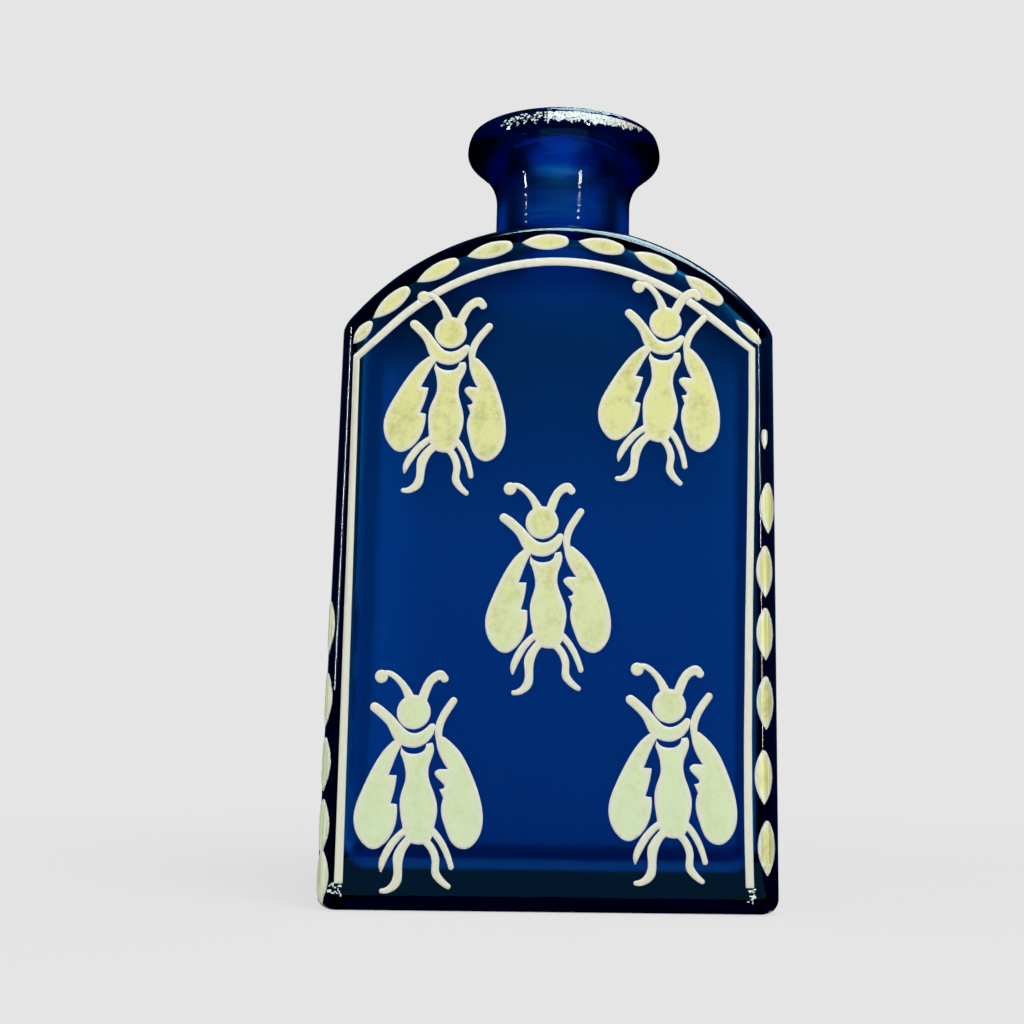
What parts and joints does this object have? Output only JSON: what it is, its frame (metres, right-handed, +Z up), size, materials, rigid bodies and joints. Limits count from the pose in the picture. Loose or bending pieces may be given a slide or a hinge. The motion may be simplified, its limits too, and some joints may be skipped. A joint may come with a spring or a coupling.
{
  "type": "poison bottle",
  "caption": "Flat cobalt-blue glass bottle with an arched top, short neck, rounded lip and fired enamel bees, leaf beads and a border line on its front.",
  "frame": {"origin": "middle of the base, on the plane that the bottle stands on", "axes": "+Z up the bottle to its mouth, -Y out of the decorated front face, +X to the right as the front is seen"},
  "size_m": [0.0883, 0.0443, 0.1625],
  "materials": {
    "cobalt_glass": "clear, deep blue, fire polished",
    "enamel": "fired, satin, slightly grained"
  },
  "bodies": {
    "root": {"arch_beads": "enamel", "bee_bottom_left_head": "enamel", "bee_bottom_left_left_wing": "enamel", "bee_bottom_left_right_wing": "enamel", "bee_bottom_left_trunk": "enamel", "bee_bottom_right_head": "enamel", "bee_bottom_right_left_wing": "enamel", "bee_bottom_right_right_wing": "enamel", "bee_bottom_right_trunk": "enamel", "bee_middle_head": "enamel", "bee_middle_left_wing": "enamel", "bee_middle_right_wing": "enamel", "bee_middle_trunk": "enamel", "bee_top_left_head": "enamel", "bee_top_left_left_wing": "enamel", "bee_top_left_right_wing": "enamel", "bee_top_left_trunk": "enamel", "bee_top_right_head": "enamel", "bee_top_right_left_wing": "enamel", "bee_top_right_right_wing": "enamel", "bee_top_right_trunk": "enamel", "border_line": "enamel", "bottle_body": "cobalt_glass", "left_edge_beads": "enamel", "lip_collar": "cobalt_glass", "right_edge_beads": "enamel"}
  },
  "joints": []
}
